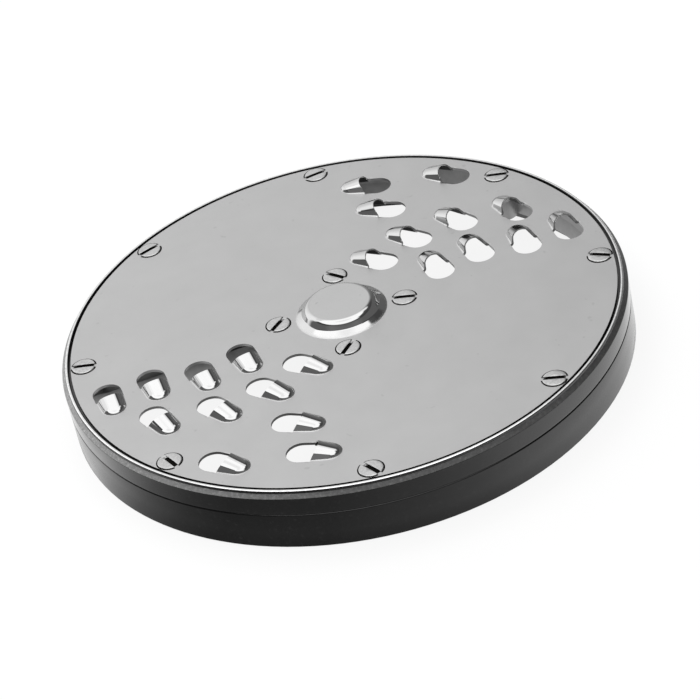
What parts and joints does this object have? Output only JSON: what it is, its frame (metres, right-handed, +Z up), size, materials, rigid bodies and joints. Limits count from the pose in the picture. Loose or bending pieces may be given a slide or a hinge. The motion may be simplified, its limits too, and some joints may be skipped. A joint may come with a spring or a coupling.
{
  "type": "food processor disc",
  "caption": "Round grating disc for a vegetable cutter: pressed steel plate with scoop-shaped teeth and a domed centre, screwed into a dark rim ring on an armed carrier with a blind drive bore.",
  "frame": {"origin": "centre of the carrier's foot, on the surface it stands on", "axes": "+Z up along the drive axis, towards the teeth; +X and +Y along two of the carrier's arms"},
  "size_m": [0.2014, 0.2014, 0.0272],
  "materials": {
    "plate_steel": "satin stainless sheet with polished teeth and dome",
    "body_aluminium": "turned aluminium with a dark outer wall and a bright polished land",
    "screw_steel": "polished stainless"
  },
  "bodies": {
    "root": {"grating_plate": "plate_steel", "rim_ring": "body_aluminium", "carrier": "body_aluminium", "rim_screws": "screw_steel", "hub_screws": "screw_steel"}
  },
  "joints": []
}
